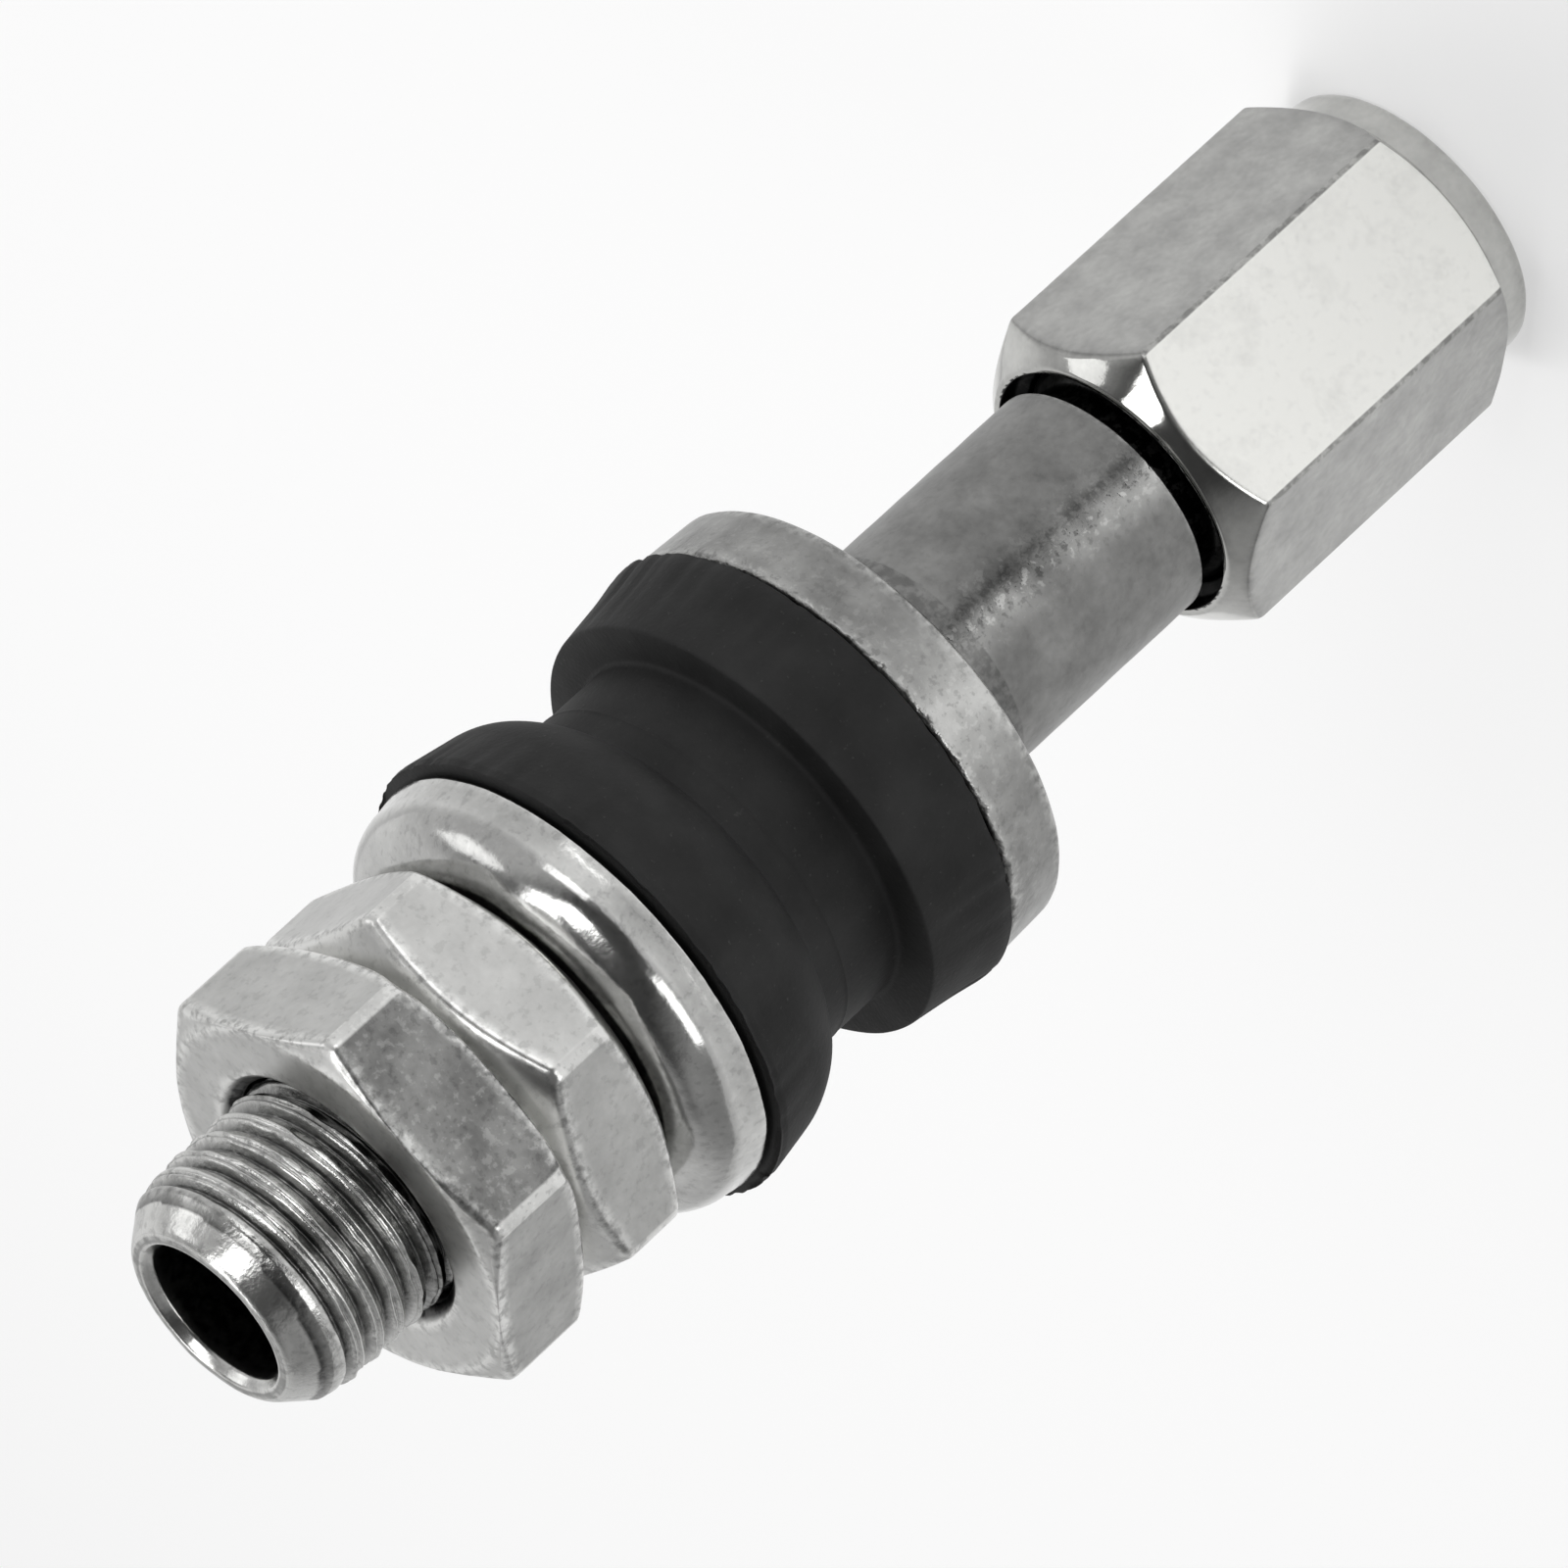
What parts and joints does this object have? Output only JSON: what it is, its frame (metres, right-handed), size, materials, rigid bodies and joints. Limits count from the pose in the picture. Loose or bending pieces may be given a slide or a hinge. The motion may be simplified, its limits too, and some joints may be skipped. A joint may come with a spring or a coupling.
{
  "type": "tyre valve",
  "caption": "Clamp-in tyre valve: threaded metal stem with flange, rubber grommet, cupped washer, clamp nut, lock nut, hexagon cap and spring-loaded core.",
  "frame": {"origin": "on the valve's axis, in the plane of the rubber seat that bears on the outside of the wheel rim", "axes": "+Z along the axis towards the threaded end inside the tyre; the cap is at the -Z end and the valve stands on it"},
  "size_m": [0.0152, 0.0152, 0.05],
  "materials": {
    "stem_metal": "dull nickel plate over turned brass",
    "rubber": "matt moulded",
    "washer_steel": "polished zinc plate",
    "nut_steel": "satin zinc plate",
    "cap_metal": "bright chrome plate over brass",
    "core_brass": "turned",
    "gasket_plastic": "smooth",
    "spring_steel": "drawn wire"
  },
  "bodies": {
    "stem": {"valve_stem": "stem_metal", "rubber_grommet": "rubber", "core_plug": "core_brass", "core_barrel": "core_brass", "barrel_gasket": "gasket_plastic", "core_spring": "spring_steel"},
    "pin": {"core_pin": "core_brass", "pin_cup": "core_brass", "cup_gasket": "rubber"},
    "seal": {"cap_seal": "rubber"},
    "cap": {"hex_cap": "cap_metal"},
    "washer": {"ring_washer": "washer_steel"},
    "clamp_nut": {"clamp_nut": "nut_steel"},
    "lock_nut": {"lock_nut": "nut_steel"}
  },
  "joints": [
    {"name": "pin_press", "type": "slide", "parent": "stem", "child": "pin", "axis": [0, 0, 1], "range_m": [0, 0.0012], "stiffness_N_per_m": 400, "deforming": ["core_spring"]},
    {"name": "cap_travel", "type": "slide", "parent": "stem", "child": "seal", "axis": [0, 0, -1], "range_m": [0, 0.01032]},
    {"name": "cap_turn", "type": "hinge", "parent": "seal", "child": "cap", "pos_m": [0, 0, -0.022], "axis": [0, 0, -1], "range_deg": [0, 4680]},
    {"name": "washer_lift", "type": "slide", "parent": "stem", "child": "washer", "axis": [0, 0, 1], "range_m": [0, 0.00397]},
    {"name": "clamp_nut_turn", "type": "hinge", "parent": "washer", "child": "clamp_nut", "pos_m": [0, 0, 0.011], "axis": [0, 0, 1], "range_deg": [0, 1800]},
    {"name": "lock_nut_turn", "type": "hinge", "parent": "washer", "child": "lock_nut", "pos_m": [0, 0, 0.0145], "axis": [0, 0, 1], "range_deg": [0, 1800]}
  ],
  "couplings": [
    {"joint": "cap_travel", "follows": "cap_turn", "m_per_rad": 0.00012637},
    {"joint": "washer_lift", "follows": "clamp_nut_turn", "m_per_rad": 0.00012637},
    {"joint": "lock_nut_turn", "follows": "clamp_nut_turn", "ratio": 1}
  ]
}
